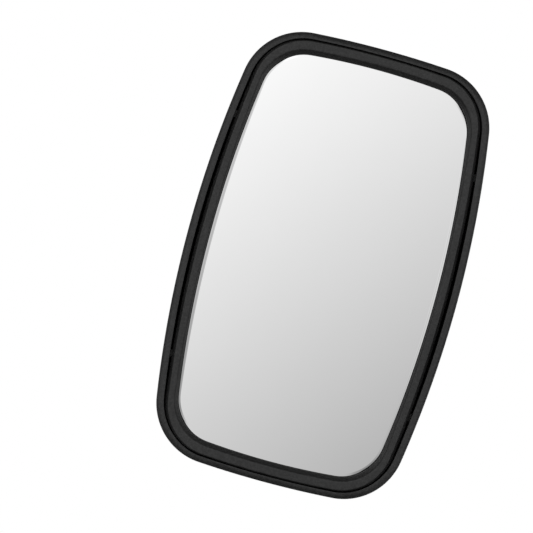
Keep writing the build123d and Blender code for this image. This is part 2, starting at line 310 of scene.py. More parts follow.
@dataclass(frozen=True)
class GrainedPlastic(Finish):
    """Black moulding with a fine spark-eroded grain and slight handling wear."""

    level: float = 0.020
    sheen_level: float = 0.054
    roughness: float = 0.42
    grain: float = 0.0014
    grain_depth: float = 0.00013
    gloss: float = 0.5

    def surface(self, board: Board, place: Wire) -> Wire:
        """Grain, cloudy tone and rubbed spots.

        Args:
            board: board of the material.
            place: Object coordinates.

        Returns:
            The shader.
        """
        pits = board.cells(place, self.grain)
        fine = board.noise(place, self.grain, 3.0, 0.6)
        clouds = board.noise(place, 0.045, 3.0, 0.55)
        rubbed = board.noise(place, 0.012, 4.0, 0.65).within(0.60, 0.78)
        height = pits * 0.55 + fine * 0.75
        tone = (fine * 0.75 + clouds * 0.25 + rubbed * 0.1).within(0.34, 0.72)
        colour = board.blend(tone, grey(self.level), grey(self.sheen_level))
        rough = (clouds - 0.5) * 0.12 + (fine - 0.5) * 0.10 - rubbed * 0.04 + self.roughness
        inputs = {
            "Base Color": colour,
            "Roughness": rough,
            "Normal": board.relief(height, self.grain_depth),
            "Specular IOR Level": self.gloss,
        }
        return board.add("ShaderNodeBsdfPrincipled", None, inputs)


@dataclass(frozen=True)
class Rubber(Finish):
    """Matte black rubber with a dusty bloom and a soft ripple."""

    level: float = 0.010
    bloom: float = 0.030
    ripple: float = 0.0016

    def surface(self, board: Board, place: Wire) -> Wire:
        """Bloom over black, ripple in the relief.

        Args:
            board: board of the material.
            place: Object coordinates.

        Returns:
            The shader.
        """
        dust = board.noise(place, 0.006, 5.0, 0.7).within(0.45, 0.75)
        ripple = board.noise(place, self.ripple, 3.0, 0.6)
        inputs = {
            "Base Color": board.blend(dust, grey(self.level), grey(self.bloom, 0.02)),
            "Roughness": dust * 0.15 + 0.62,
            "Normal": board.relief(ripple, 0.00006),
            "Specular IOR Level": 0.35,
        }
        return board.add("ShaderNodeBsdfPrincipled", None, inputs)


@dataclass(frozen=True)
class Steel(Finish):
    """Turned steel: black oxide or zinc, with tool marks and worn edges."""

    level: float = 0.03
    worn_level: float = 0.16
    roughness: float = 0.38
    metallic: float = 1.0

    def surface(self, board: Board, place: Wire) -> Wire:
        """Blotchy coating with fine scratches.

        Args:
            board: board of the material.
            place: Object coordinates.

        Returns:
            The shader.
        """
        blotch = board.noise(place, 0.0022, 4.0, 0.6)
        stretch = board.add("ShaderNodeMapping", None, {"Vector": place, "Scale": (1.0, 6.0, 1.0)})
        marks = board.noise(stretch, 0.0005, 3.0, 0.7)
        worn = (blotch * 0.7 + marks * 0.4).within(0.55, 0.80)
        inputs = {
            "Base Color": board.blend(worn, grey(self.level), grey(self.worn_level, 0.03)),
            "Roughness": marks * 0.18 + self.roughness - worn * 0.08,
            "Metallic": self.metallic,
            "Normal": board.relief(marks, 0.00001),
        }
        return board.add("ShaderNodeBsdfPrincipled", None, inputs)


@dataclass(frozen=True)
class SilveredGlass(Finish):
    """Silvered convex glass with a fine grinding line along both long edges."""

    side_radius: float = 0.870
    half_width: float = 0.0812
    centre_z: float = -0.0285
    line_inset: float = 0.0042
    line_width: float = 0.0004

    def surface(self, board: Board, place: Wire) -> Wire:
        """Mirror with faint dust, a soft smear and the grinding line.

        Args:
            board: board of the material.
            place: Object coordinates.

        Returns:
            The shader.
        """
        axes = board.node("ShaderNodeSeparateXYZ", None, {"Vector": place})
        across = abs(Wire(board, axes.outputs["X"])) + (self.side_radius - self.half_width)
        along = Wire(board, axes.outputs["Z"]) - self.centre_z
        inset = self.side_radius - (across * across + along * along).root()
        line = abs(inset - self.line_inset).within(self.line_width, self.line_width * 0.4)
        line = line * abs(along).within(0.122, 0.110)
        dust = board.noise(place, 0.0007, 4.0, 0.7).within(0.62, 0.80)
        smear = board.noise(place, 0.05, 3.0, 0.6)
        silver = board.blend(smear, grey(0.93), grey(0.915))
        silver = board.blend(line * 0.35, silver, grey(0.50))
        inputs = {
            "Base Color": board.blend(dust * 0.02, silver, grey(0.6)),
            "Metallic": 1.0,
            "Roughness": dust * 0.01 + 0.012,
        }
        return board.add("ShaderNodeBsdfPrincipled", None, inputs)


@dataclass(frozen=True)
class Moulded(Finish):
    """Plain inner material: film, foam or natural slide plastic."""

    level: float = 0.4
    dark_level: float = 0.3
    warmth: float = 0.0
    roughness: float = 0.5
    pore: float = 0.001
    pore_depth: float = 0.00005

    def surface(self, board: Board, place: Wire) -> Wire:
        """Pores and a slightly uneven tone.

        Args:
            board: board of the material.
            place: Object coordinates.

        Returns:
            The shader.
        """
        pores = board.cells(place, self.pore)
        cloud = board.noise(place, self.pore * 9, 3.0, 0.6)
        tone = (pores * 0.5 + cloud * 0.6).within(0.2, 0.9)
        dark, light = grey(self.dark_level, self.warmth), grey(self.level, self.warmth)
        inputs = {
            "Base Color": board.blend(tone, dark, light),
            "Roughness": cloud * 0.15 + self.roughness,
            "Normal": board.relief(pores, self.pore_depth),
        }
        return board.add("ShaderNodeBsdfPrincipled", None, inputs)


@dataclass(frozen=True)
class FloorPaint(Finish):
    """Pale studio floor that glows a little, so that it stays close to white."""

    level: float = 0.80
    glow: float = 0.80

    def surface(self, board: Board, place: Wire) -> Wire:
        """Slightly uneven paint.

        Args:
            board: board of the material.
            place: Object coordinates.

        Returns:
            The shader.
        """
        cloud = board.noise(place, 0.30, 2.0, 0.5)
        inputs = {
            "Base Color": board.blend(cloud, grey(self.level), grey(self.level * 1.04)),
            "Roughness": 0.8,
            "Emission Color": grey(1.0),
            "Emission Strength": self.glow,
        }
        paint = board.add("ShaderNodeBsdfPrincipled", None, inputs)
        clear = board.add("ShaderNodeBsdfTransparent")
        underside = board.add("ShaderNodeNewGeometry", output="Backfacing")
        return board.add("ShaderNodeMixShader", None, {0: underside, 1: paint, 2: clear})


SHELL_PLASTIC = GrainedPlastic("shell_grained_black")
RING_PLASTIC = GrainedPlastic("ring_satin_black", 0.018, 0.050, 0.40, 0.0015, 0.00010)
# The flank's plastic is the ring's moulding made darker and less glossy: painted shade on the flank where it
# slopes down to the glass.
FLANK_SHADED_PLASTIC = GrainedPlastic("flank_matte_painted_shade_black", 0.012, 0.032, 0.50, 0.0015, 0.00010, 0.32)
DISC_PLASTIC = GrainedPlastic("disc_satin_black", 0.010, 0.032, 0.38, 0.0015, 0.00008)
PANEL_PLASTIC = GrainedPlastic("panel_smooth_black", 0.012, 0.030, 0.34, 0.0012, 0.00002)
INNER_PLASTIC = GrainedPlastic("inner_glass_filled", 0.012, 0.030, 0.52, 0.0012, 0.00007)
SEAL_RUBBER = Rubber("seal_rubber")
LINER_RUBBER = Rubber("liner_rubber", 0.012, 0.034, 0.0011)
SCREW_STEEL = Steel("screw_black_oxide")
ZINC_STEEL = Steel("zinc_plate", 0.42, 0.62, 0.32)
SILVERED_GLASS = SilveredGlass("silvered_glass")
FILM = Moulded("safety_film", 0.50, 0.42, 0.0, 0.35, 0.004, 0.00002)
FOAM = Moulded("closed_cell_foam", 0.07, 0.035, 0.0, 0.85, 0.0009, 0.00015)
SLIDE_PLASTIC = Moulded("slide_plastic", 0.72, 0.66, 0.02, 0.40, 0.002, 0.00002)
FLOOR_PAINT = FloorPaint("floor_paint")

KEPT = {
    "glass_seal": SEAL_RUBBER,
    "shatter_film": FILM,
    "foam_pads": FOAM,
    "carrier_plate": INNER_PLASTIC,
    "entry_grommet": SEAL_RUBBER,
    "inner_jaw": INNER_PLASTIC,
    "grip_liner_outer": LINER_RUBBER,
    "grip_liner_inner": LINER_RUBBER,
    "screw_washers": ZINC_STEEL,
    "lock_washers": ZINC_STEEL,
    "clamp_nuts": ZINC_STEEL,
    "nut_retainer": ZINC_STEEL,
    "disc_seal": SEAL_RUBBER,
    "swivel_washer": SLIDE_PLASTIC,
}


# ---- mesh helpers ---------------------------------------------------------------------------------


@dataclass(frozen=True)
class Barrel:
    """Barrel outline of arcs, in millimetres: two sides, two ends, four round corners."""

    half_width: float
    half_height: float
    side_radius: float
    end_radius: float
    corner_radius: float

    SEGMENTS = (44, 26, 30)

    def corner_centre(self) -> tuple[float, float]:
        """Centre of the upper right corner's arc, where it touches both long arcs.

        Returns:
            Its two coordinates.
        """
        a = self.side_radius - self.half_width
        b = self.end_radius - self.half_height
        r1 = self.side_radius - self.corner_radius
        r2 = self.end_radius - self.corner_radius
        span = math.hypot(a, b)
        along = (r1 * r1 - r2 * r2 + span * span) / (2 * span)
        off = math.sqrt(r1 * r1 - along * along)
        ux, uz = a / span, -b / span
        return -a + ux * along - uz * off, uz * along + ux * off

    def arcs(self) -> list[tuple[float, float, float, float, float, int]]:
        """The eight arcs, counter-clockwise from the lower end of the right side.

        Returns:
            Centre x, centre z, radius, first angle, last angle and segments of each arc.
        """
        cx, cz = self.corner_centre()
        a = self.side_radius - self.half_width
        b = self.end_radius - self.half_height
        side = math.atan2(cz, cx + a)
        end = math.atan2(cz + b, cx)
        on_side, on_corner, on_end = self.SEGMENTS
        half = [
            (-a, 0.0, self.side_radius, -side, side, on_side),
            (cx, cz, self.corner_radius, side, end, on_corner),
            (0.0, -b, self.end_radius, end, math.pi - end, on_end),
            (-cx, cz, self.corner_radius, math.pi - end, math.pi - side, on_corner),
        ]
        turned = [(-x, -z, r, p + math.pi, q + math.pi, n) for x, z, r, p, q, n in half]
        return half + turned

    def loop(self, inset: float | np.ndarray = 0.0) -> np.ndarray:
        """Points of the outline moved inwards.

        Args:
            inset: distance inwards, one number or one for each point.

        Returns:
            Array of x, z for each point.
        """
        centres, angles, radii = self._samples()
        reach = (radii - inset)[:, None]
        return centres + reach * np.stack([np.cos(angles), np.sin(angles)], 1)

    def normals(self) -> np.ndarray:
        """Outward direction at each point of the outline."""
        angles = self._samples()[1]
        return np.stack([np.cos(angles), np.sin(angles)], 1)

    def _samples(self) -> tuple[np.ndarray, np.ndarray, np.ndarray]:
        """Centre, angle and radius at each point.

        Returns:
            Three arrays of equal length.
        """
        centres, angles, radii = [], [], []
        for x, z, radius, first, last, count in self.arcs():
            for step in range(count):
                centres.append((x, z))
                angles.append(first + (last - first) * step / count)
                radii.append(radius)
        return np.array(centres), np.array(angles), np.array(radii)


def ease(value: np.ndarray) -> np.ndarray:
    """Smooth step from 0 to 1."""
    t = np.clip(value, 0.0, 1.0)
    return t * t * (3 - 2 * t)


def rounded(corners: Sequence[tuple[float, float, float]], steps: int = 4) -> list[tuple[float, float]]:
    """Open profile with its corners rounded.

    Args:
        corners: two coordinates and the rounding radius of each corner.
        steps: segments in each rounding.

    Returns:
        List of points.
    """
    points = []
    ends = (0, len(corners) - 1)
    for i, (x, y, radius) in enumerate(corners):
        here = Vector((x, y))
        if radius == 0 or i in ends:
            points.append((x, y))
            continue
        back = (Vector(corners[i - 1][:2]) - here).normalized()
        ahead = (Vector(corners[i + 1][:2]) - here).normalized()
        half = math.acos(max(-1.0, min(1.0, back.dot(ahead)))) / 2
        start = here + back * (radius / math.tan(half))
        end = here + ahead * (radius / math.tan(half))
        centre = here + (back + ahead).normalized() * (radius / math.sin(half))
        for step in range(steps + 1):
            spot = start.lerp(end, step / steps) - centre
            points.append(tuple(centre + spot.normalized() * radius))
    return points


def mesh_object(
    name: str,
    points: np.ndarray,
    faces: Iterable[Sequence[int]],
    finish: Finish,
) -> bpy.types.Object:
    """Make an object from points in metres.

    Args:
        name: name of the object.
        points: array of x, y, z.
        faces: corner indices of each face.
        finish: its finish.

    Returns:
        The object, linked to the scene.
    """
    mesh = bpy.data.meshes.new(name)
    mesh.from_pydata([tuple(map(float, p)) for p in points], [], [tuple(f) for f in faces])
    mesh.update()
    made = bpy.data.objects.new(name, mesh)
    bpy.context.scene.collection.objects.link(made)
    made.data.materials.append(finish.material())
    return made


def smooth(obj: bpy.types.Object) -> bpy.types.Object:
    """Smooth shading with sharp edges kept.

    Args:
        obj: mesh object.

    Returns:
        The same object.
    """
    obj.data.shade_smooth()
    obj.data.set_sharp_from_angle(angle=SMOOTH_LIMIT)
    return obj


def skin(
    name: str,
    rings: Sequence[Ring],
    finish: Finish,
    closed: bool = False,
    cap: bool = False,
) -> bpy.types.Object:
    """Bridge rings of equal length, in millimetres, to a smooth mesh.

    Args:
        name: name of the object.
        rings: arrays of x, y, z, each a closed loop.
        finish: its finish.
        closed: whether the last ring joins the first.
        cap: close both ends with a fan about their middle.

    Returns:
        The object.
    """
    count = len(rings[0])
    points = np.concatenate(rings)
    faces = []
    last = len(rings) if closed else len(rings) - 1
    for r in range(last):
        low, high = r * count, (r + 1) % len(rings) * count
        for i in range(count):
            j = (i + 1) % count
            faces.append((low + i, low + j, high + j, high + i))
    if cap:
        first, end = len(points), len(points) + 1
        points = np.concatenate([points, rings[0].mean(0)[None], rings[-1].mean(0)[None]])
        top = (len(rings) - 1) * count
        for i in range(count):
            j = (i + 1) % count
            faces.append((first, j, i))
            faces.append((end, top + i, top + j))
    made = mesh_object(name, points * MM, faces, finish)
    outward(made)
    return smooth(made)


def outward(obj: bpy.types.Object) -> None:
    """Turn the faces of a closed mesh outwards.

    Args:
        obj: mesh object.
    """
    work = bmesh.new()
    work.from_mesh(obj.data)
    bmesh.ops.recalc_face_normals(work, faces=work.faces)
    if work.calc_volume(signed=True) < 0:
        bmesh.ops.reverse_faces(work, faces=work.faces)
    work.to_mesh(obj.data)
    work.free()


def bake(obj: bpy.types.Object) -> bpy.types.Object:
    """Replace the mesh by its evaluated result and drop the modifiers.

    Args:
        obj: mesh object with modifiers.

    Returns:
        The same object.
    """
    graph = bpy.context.evaluated_depsgraph_get()
    mesh = bpy.data.meshes.new_from_object(obj.evaluated_get(graph))
    obj.modifiers.clear()
    obj.data = mesh
    return obj


def carve(obj: bpy.types.Object, cutters: Sequence[bpy.types.Object]) -> bpy.types.Object:
    """Cut closed tools out of an object.

    Args:
        obj: mesh object.
        cutters: tools, deleted afterwards.

    Returns:
        The same object.
    """
    for tool in cutters:
        cut = obj.modifiers.new("cut", "BOOLEAN")
        cut.operation = "DIFFERENCE"
        cut.solver = "EXACT"
        cut.object = tool
    bake(obj)
    for tool in cutters:
        bpy.data.objects.remove(tool)
    return smooth(obj)


def lathe(
    name: str,
    profile: Sequence[tuple[float, float]],
    finish: Finish,
    x: float = 0.0,
    count: int = 96,
) -> bpy.types.Object:
    """Turn a profile about an axis parallel to Y.

    Args:
        name: name of the object.
        profile: radius and y of each point, in millimetres, closed on itself or ending on the axis.
        finish: its finish.
        x: place of the axis.
        count: segments around.

    Returns:
        The object.
    """
    turn = np.linspace(0, 2 * math.pi, count, endpoint=False)
    open_ends = profile[0][0] < 1e-6
    inner = [p for p in profile if p[0] > 1e-6]
    rings = [np.stack([x + r * np.cos(turn), np.full(count, y), r * np.sin(turn)], 1) for r, y in inner]
    return skin(name, rings, finish, closed=not open_ends, cap=open_ends)


# ---- repeats made with geometry nodes -------------------------------------------------------------


class Recipe:
    """A geometry node tree with named number inputs."""

    def __init__(self, name: str, numbers: dict[str, float]) -> None:
        """Make the tree and its sockets.

        Args:
            name: name of the tree.
            numbers: input names and default values.
        """
        self.tree = bpy.data.node_groups.new(name, "GeometryNodeTree")
        face = self.tree.interface
        face.new_socket("Geometry", in_out="INPUT", socket_type="NodeSocketGeometry")
        for label, value in numbers.items():
            face.new_socket(label, in_out="INPUT", socket_type="NodeSocketFloat").default_value = value
        face.new_socket("Geometry", in_out="OUTPUT", socket_type="NodeSocketGeometry")
        self.entry = self.tree.nodes.new("NodeGroupInput")
        self.exit = self.tree.nodes.new("NodeGroupOutput")

    def add(self, kind: str, settings: dict | None = None, inputs: dict | None = None) -> bpy.types.Node:
        """Add a node.

        Args:
            kind: node type.
            settings: attributes, set first.
            inputs: values or output sockets by name or index.

        Returns:
            The node.
        """
        made = self.tree.nodes.new(kind)
        for key, value in (settings or {}).items():
            setattr(made, key, value)
        for key, value in (inputs or {}).items():
            if isinstance(value, bpy.types.NodeSocket):
                self.tree.links.new(value, made.inputs[key])
            else:
                made.inputs[key].default_value = value
        return made

    def number(self, label: str) -> bpy.types.NodeSocket:
        """Output socket of a named input."""
        return self.entry.outputs[label]

    def close(self, geometry: bpy.types.NodeSocket, finish: Finish) -> None:
        """End the tree in Realize Instances and Set Material.

        Args:
            geometry: geometry to output.
            finish: finish of all of it.
        """
        real = self.add("GeometryNodeRealizeInstances", None, {"Geometry": geometry})
        dressed = self.add(
            "GeometryNodeSetMaterial", None, {"Geometry": real.outputs[0], "Material": finish.material()}
        )
        self.tree.links.new(dressed.outputs[0], self.exit.inputs[0])

    def grow(self, obj: bpy.types.Object, numbers: dict[str, float]) -> bpy.types.Object:
        """Run the tree on an object and keep the plain result.

        Args:
            obj: mesh object.
            numbers: values by input name.

        Returns:
            The same object with its new mesh.
        """
        modifier = obj.modifiers.new("recipe", "NODES")
        modifier.node_group = self.tree
        for item in self.tree.interface.items_tree:
            if item.in_out == "INPUT" and item.name in numbers:
                modifier[item.identifier] = float(numbers[item.name])
        obj.update_tag()
        bpy.context.view_layer.update()
        bake(obj)
        return smooth(obj)


def around_axis(finish: Finish, name: str) -> Recipe:
    """Recipe that repeats its input around the Y axis.

    Args:
        finish: finish of the result.
        name: name of the tree.

    Returns:
        Recipe with the inputs Count, Centre X and Centre Z in metres.
    """
    recipe = Recipe(name, {"Count": 8.0, "Centre X": 0.0, "Centre Z": 0.0})
    points = recipe.add("GeometryNodePoints", None, {"Count": 8})
    recipe.tree.links.new(recipe.number("Count"), points.inputs["Count"])
    index = recipe.add("GeometryNodeInputIndex")
    share = recipe.add(
        "ShaderNodeMath", {"operation": "DIVIDE"}, {0: index.outputs[0], 1: recipe.number("Count")}
    )
    turn = recipe.add("ShaderNodeMath", {"operation": "MULTIPLY"}, {0: share.outputs[0], 1: 2 * math.pi})
    rotation = recipe.add("ShaderNodeCombineXYZ", None, {"Y": turn.outputs[0]})
    centre = recipe.add(
        "ShaderNodeCombineXYZ", None, {"X": recipe.number("Centre X"), "Z": recipe.number("Centre Z")}
    )
    placed = recipe.add(
        "GeometryNodeSetPosition", None, {"Geometry": points.outputs[0], "Position": centre.outputs[0]}
    )
    copies = recipe.add(
        "GeometryNodeInstanceOnPoints",
        None,
        {"Points": placed.outputs[0], "Instance": recipe.entry.outputs[0], "Rotation": rotation.outputs[0]},
    )
    recipe.close(copies.outputs[0], finish)
    return recipe


def block(
    name: str,
    low: Sequence[float],
    high: Sequence[float],
    finish: Finish,
    edge: float = 0.0,
) -> bpy.types.Object:
    """Box between two corners, in millimetres, with bevelled edges.

    Args:
        name: name of the object.
        low: lowest corner.
        high: highest corner.
        finish: its finish.
        edge: bevel width in millimetres.

    Returns:
        The object.
    """
    corners = [(x, y, z) for x in (low[0], high[0]) for y in (low[1], high[1]) for z in (low[2], high[2])]
    faces = [(0, 1, 3, 2), (4, 6, 7, 5), (0, 4, 5, 1), (2, 3, 7, 6), (0, 2, 6, 4), (1, 5, 7, 3)]
    made = mesh_object(name, np.array(corners) * MM, faces, finish)
    if edge:
        soft = made.modifiers.new("edge", "BEVEL")
        soft.width = edge * MM
        soft.segments = 2
        bake(made)
    outward(made)
    return made


def slot_tool(name: str, half_x: float, half_y: float, low_z: float, high_z: float) -> bpy.types.Object:
    """Prism along Z with half-round ends, in millimetres; a round one where both halves are equal.

    Args:
        name: name of the object.
        half_x: half of its length.
        half_y: half of its width.
        low_z: lower end.
        high_z: upper end.

    Returns:
        The object.
    """
    plan = slot_plan(half_x, half_y)
    rings = [np.stack([plan[:, 0], plan[:, 1], np.full(len(plan), z)], 1) for z in (low_z, high_z)]
    return skin(name, rings, SEAL_RUBBER, cap=True)


def slot_plan(half_x: float, half_y: float, steps: int = 28) -> np.ndarray:
    """Slot outline in X and Y, counter-clockwise.

    Args:
        half_x: half of its length.
        half_y: half of its width, the radius of its ends.
        steps: segments in each end.

    Returns:
        Array of x, y.
    """
    turn = np.linspace(-math.pi / 2, math.pi / 2, steps + 1)
    shift = max(half_x - half_y, 1e-3)
    right = np.stack([shift + half_y * np.cos(turn), half_y * np.sin(turn)], 1)
    return np.concatenate([right, -right])


# ---- sub-assemblies, sizes in millimetres ---------------------------------------------------------


@dataclass
class Layout:
    """Places shared by the pieces, read from the frame."""

    front: float
    back: float
    middle_z: float
    glass_radius: float = 1800.0
    glass_setback: float = 1.2
    crown_radius: float = 4000.0
    screw_x: float = 16.0
    snap_rise: float = 83.0
    snap_y: float = -20.0

    @classmethod
    def from_frame(cls) -> "Layout":
        """Read the ring's front, the shell's crown and the head's middle.

        Returns:
            The layout in millimetres.
        """
        shell_low, shell_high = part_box("rear_shell")
        ring_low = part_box("front_ring")[0]
        middle = (shell_low.z + shell_high.z) / 2
        return cls(ring_low.y / MM, shell_high.y / MM, middle / MM)

    def glass_y(self, x: np.ndarray, z: np.ndarray, behind: float = 0.0) -> np.ndarray:
        """Depth of the glass ball's surface.

        Args:
            x: places across.
            z: heights in the frame.
            behind: distance behind the front of the glass.

        Returns:
            Y at each place.
        """
        radius = self.glass_radius - behind
        centre = self.front + self.glass_setback + self.glass_radius
        return centre - np.sqrt(radius**2 - x**2 - (z - self.middle_z) ** 2)

    def crown_y(self, x: np.ndarray, z: np.ndarray, inset: float = 0.0) -> np.ndarray:
        """Y of the crowned back, moved inwards by inset.

        Args:
            x: places across.
            z: heights in the frame.
            inset: distance inwards.

        Returns:
            Y at each place.
        """
        radius = self.crown_radius - inset
        centre = self.back - self.crown_radius
        return centre + np.sqrt(radius**2 - x**2 - (z - self.middle_z) ** 2)

    def ring(self, outline: Barrel, inset: float | np.ndarray, y: float | np.ndarray) -> Ring:
        """Loop of the outline at a depth.

        Args:
            outline: outline in millimetres.
            inset: distance inwards.
            y: depth, one number or one for each point.

        Returns:
            Array of x, y, z.
        """
        flat = outline.loop(inset)
        depth = np.broadcast_to(np.asarray(y, float), (len(flat),))
        return np.stack([flat[:, 0], depth, flat[:, 1] + self.middle_z], 1)


@dataclass
class BackShell:
    """Deep moulded shell: rim bead, drafted walls, broad shoulder, dish, seat and openings."""

    layout: Layout
    outline: Barrel = Barrel(93.3, 150.0, 745.0, 710.0, 41.8)
    mouth: Barrel = Barrel(88.0, 145.6, 740.0, 705.6, 38.0)
    wall: float = 3.0
    draft: float = math.tan(math.radians(3.0))
    shoulder: float = 19.0
    rim_setback: float = 0.8
    rim_round: tuple[float, float] = (4.4, 3.0)
    bead_depth: float = 7.0
    dish_half: tuple[float, float] = (55.0, 32.0)
    dish_depth: float = 1.8
    dish_fade: tuple[float, float] = (0.45, 0.75)
    pad: float = 2.5
    pad_margin: float = 4.0
    pad_fade: tuple[float, float] = (0.9, 0.2)
    seat_radius: float = 29.35
    seat_hole: float = 24.0
    seat_depth: float = 7.5
    seat_thickness: float = 3.5
    seat_wall: float = 4.2
    panel_half: tuple[float, float] = (40.5, 24.2)
    panel_drop: float = 45.0
    panel_depth: float = 0.4
    panel_grid: tuple[int, int] = (33, 21)
    window_half: tuple[float, float] = (1.6, 2.75)
    window_reach: tuple[float, float] = (14.0, 5.0)
    entry_half: tuple[float, float] = (38.38, 13.2)
    entry_reach: tuple[float, float] = (8.0, 12.0)
    rib_count: int = 8
    rib_length: float = 40.0
    rib_half: float = 1.1
    rib_edge: float = 0.3

    def dish(self, x: np.ndarray, z: np.ndarray) -> np.ndarray:
        """Depth of the oval dish, fading out softly at its edge.

        Args:
            x: places across.
            z: heights from the clamp axis.

        Returns:
            Depth at each place.
        """
        reach = np.sqrt((x / self.dish_half[0]) ** 2 + (z / self.dish_half[1]) ** 2)
        start, width = self.dish_fade
        return self.dish_depth * (1 - ease((reach - start) / width))

    def back_y(self, x: np.ndarray, z: np.ndarray, inner: bool) -> np.ndarray:
        """Y of the back's outer or inner surface.

        Args:
            x: places across.
            z: heights from the clamp axis.
            inner: the inner surface.

        Returns:
            Y at each place.
        """
        if not inner:
            return self.layout.crown_y(x, z) - self.dish(x, z)
        half_x, half_z = (half + self.pad_margin for half in self.dish_half)
        reach = np.sqrt((x / half_x) ** 2 + (z / half_z) ** 2)
        start, width = self.pad_fade
        return self.layout.crown_y(x, z, self.wall) - self.pad * (1 - ease((reach - start) / width))

    def wall_loop(self, inset: float, depth: float) -> Ring:
        """Loop on a drafted wall at a distance behind the rim.

        Args:
            inset: distance inwards from the outline at the rim.
            depth: distance behind the rim.

        Returns:
            Array of x, y, z.
        """
        rim = self.layout.front + self.rim_setback
        return self.layout.ring(self.outline, inset + depth * self.draft, rim + depth)

    def shoulder_loops(self, inset: float, steps: int) -> list[Ring]:
        """Loops round the shoulder from the wall to the back.

        Args:
            inset: wall thickness passed inwards; the round shrinks with it.
            steps: segments of the round.

        Returns:
            List of loops.
        """
        layout = self.layout
        radius = self.shoulder - inset
        rim = layout.front + self.rim_setback
        normal = self.outline.normals()
        tilt = math.atan(self.draft)
        drop = np.full(len(normal), layout.back - radius)
        for _ in range(4):
            across = inset + (drop - rim) * self.draft + radius / math.cos(tilt)
            spot = self.outline.loop(across)
            slope = np.sum(spot * normal, 1) / layout.crown_radius
            top = layout.crown_y(spot[:, 0], spot[:, 1] + layout.middle_z, inset)
            drop = top - radius * np.sqrt(1 + slope**2)
        loops = []
        lean = np.arctan(slope)
        for step in range(steps + 1):
            share = step / steps
            angle = -tilt * (1 - share) + (math.pi / 2 - lean) * share
            place = self.outline.loop(across - radius * np.cos(angle))
            y = drop + radius * np.sin(angle)
            loops.append(np.stack([place[:, 0], y, place[:, 1] + layout.middle_z], 1))
        return loops

    def circle(self, border: Ring, radius: float, y: float | np.ndarray) -> Ring:
        """Loop on a circle about the clamp axis, in line with the border's points.

        Args:
            border: loop that gives the directions.
            radius: radius of the circle.
            y: depth.

        Returns:
            Array of x, y, z.
        """
        turn = np.arctan2(border[:, 2], border[:, 0])
        depth = np.broadcast_to(np.asarray(y, float), turn.shape)
        return np.stack([radius * np.cos(turn), depth, radius * np.sin(turn)], 1)

    def spread(self, border: Ring, radius: float, steps: int, inner: bool) -> list[Ring]:
        """Loops over the back between the shoulder and a circle.

        Args:
            border: last loop of the shoulder.
            radius: radius of the circle.
            steps: number of loops.
            inner: work on the inner surface.

        Returns:
            Loops from the border to the circle, without the border.
        """
        goal = self.circle(border, radius, 0.0)
        loops = []
        for step in range(1, steps + 1):
            share = 1 - (1 - step / steps) ** 1.35
            x = border[:, 0] * (1 - share) + goal[:, 0] * share
            z = border[:, 2] * (1 - share) + goal[:, 2] * share
            y = self.back_y(x, z, inner)
            edge = border[:, 1] - self.back_y(border[:, 0], border[:, 2], inner)
            loops.append(np.stack([x, y + edge * (1 - ease(np.array(share * 4))), z], 1))
        return loops

    def outer_loops(self) -> list[Ring]:
        """Loops over the outside, from the rim's inner edge to the seat.

        Returns:
            List of loops.
        """
        layout = self.layout
        rim = layout.front + self.rim_setback
        loops = [layout.ring(self.mouth, 0.0, rim + 0.5), layout.ring(self.mouth, -0.15, rim + 0.15)]
        loops.append(layout.ring(self.mouth, -0.5, rim))
        across, deep = self.rim_round
        for step in range(17):
            angle = math.pi / 2 * step / 16
            loops.append(self.wall_loop(across * (1 - math.sin(angle)), deep * (1 - math.cos(angle))))
        shoulder = self.shoulder_loops(0.0, 22)
        first = shoulder[0]
        start = loops[-1]
        for step in range(1, 14):
            loops.append(start + (first - start) * step / 14)
        return loops + shoulder

    def seat_loops(self, border: Ring) -> list[Ring]:
        """Loops down the opening, over the seat and out under it.

        Args:
            border: loop that gives the directions.

        Returns:
            List of loops.
        """
        back = self.layout.back
        seat, hole, out = self.seat_radius, self.seat_hole, self.seat_radius + self.seat_wall
        floor, front = back - self.seat_depth, back - self.seat_depth - self.seat_thickness
        lip = self.back_y(*self.circle(border, seat, 0.0)[:, [0, 2]].T, False)
        under = self.back_y(*self.circle(border, out, 0.0)[:, [0, 2]].T, True)
        loops = [self.circle(border, seat + 0.12, lip - 0.12), self.circle(border, seat, lip - 0.4)]
        corners = [(seat, floor + 0.4), (seat, floor), (hole + 0.3, floor), (hole, floor - 0.3)]
        corners += [(hole, front + 0.3), (hole + 0.3, front), (out - 0.5, front), (out, front + 0.5)]
        loops += [self.circle(border, radius, y) for radius, y in corners]
        loops.append(self.circle(border, out, under - 0.8))
        loops.append(self.circle(border, out + 0.25, under - 0.2))
        return loops

    def inner_loops(self) -> list[Ring]:
        """Loops over the inside, from the seat back to the rim's inner edge.

        Returns:
            List of loops.
        """
        layout = self.layout
        shoulder = self.shoulder_loops(self.wall, 12)
        border = shoulder[-1]
        loops = self.spread(border, self.seat_radius + self.seat_wall + 0.8, 26, True)[::-1]
        loops += shoulder[::-1]
        bead = self.bead_depth - self.rim_setback
        start = shoulder[0]
        end = self.wall_loop(self.wall, bead + 0.5)
        loops += [start + (end - start) * step / 8 for step in range(1, 9)]
        loops.append(self.wall_loop(self.wall + 0.3, bead))
        loops.append(layout.ring(self.mouth, -0.4, layout.front + self.bead_depth))
        loops.append(layout.ring(self.mouth, 0.0, layout.front + self.bead_depth - 0.4))
        return loops

    def windows(self) -> list[bpy.types.Object]:
        """Tools for the four snap windows.

        Returns:
            One block for each window.
        """
        half_y, half_z = self.window_half
        reach = self.outline.half_width
        y = self.layout.snap_y
        tools = []
        for side in (-1, 1):
            near, far = sorted((side * (reach - self.window_reach[0]), side * (reach + self.window_reach[1])))
            for rise in (-self.layout.snap_rise, self.layout.snap_rise):
                z = self.layout.middle_z + rise
                low = (near, y - half_y, z - half_z)
                high = (far, y + half_y, z + half_z)
                tools.append(block("window_tool", low, high, SHELL_PLASTIC, 0.0))
        return tools

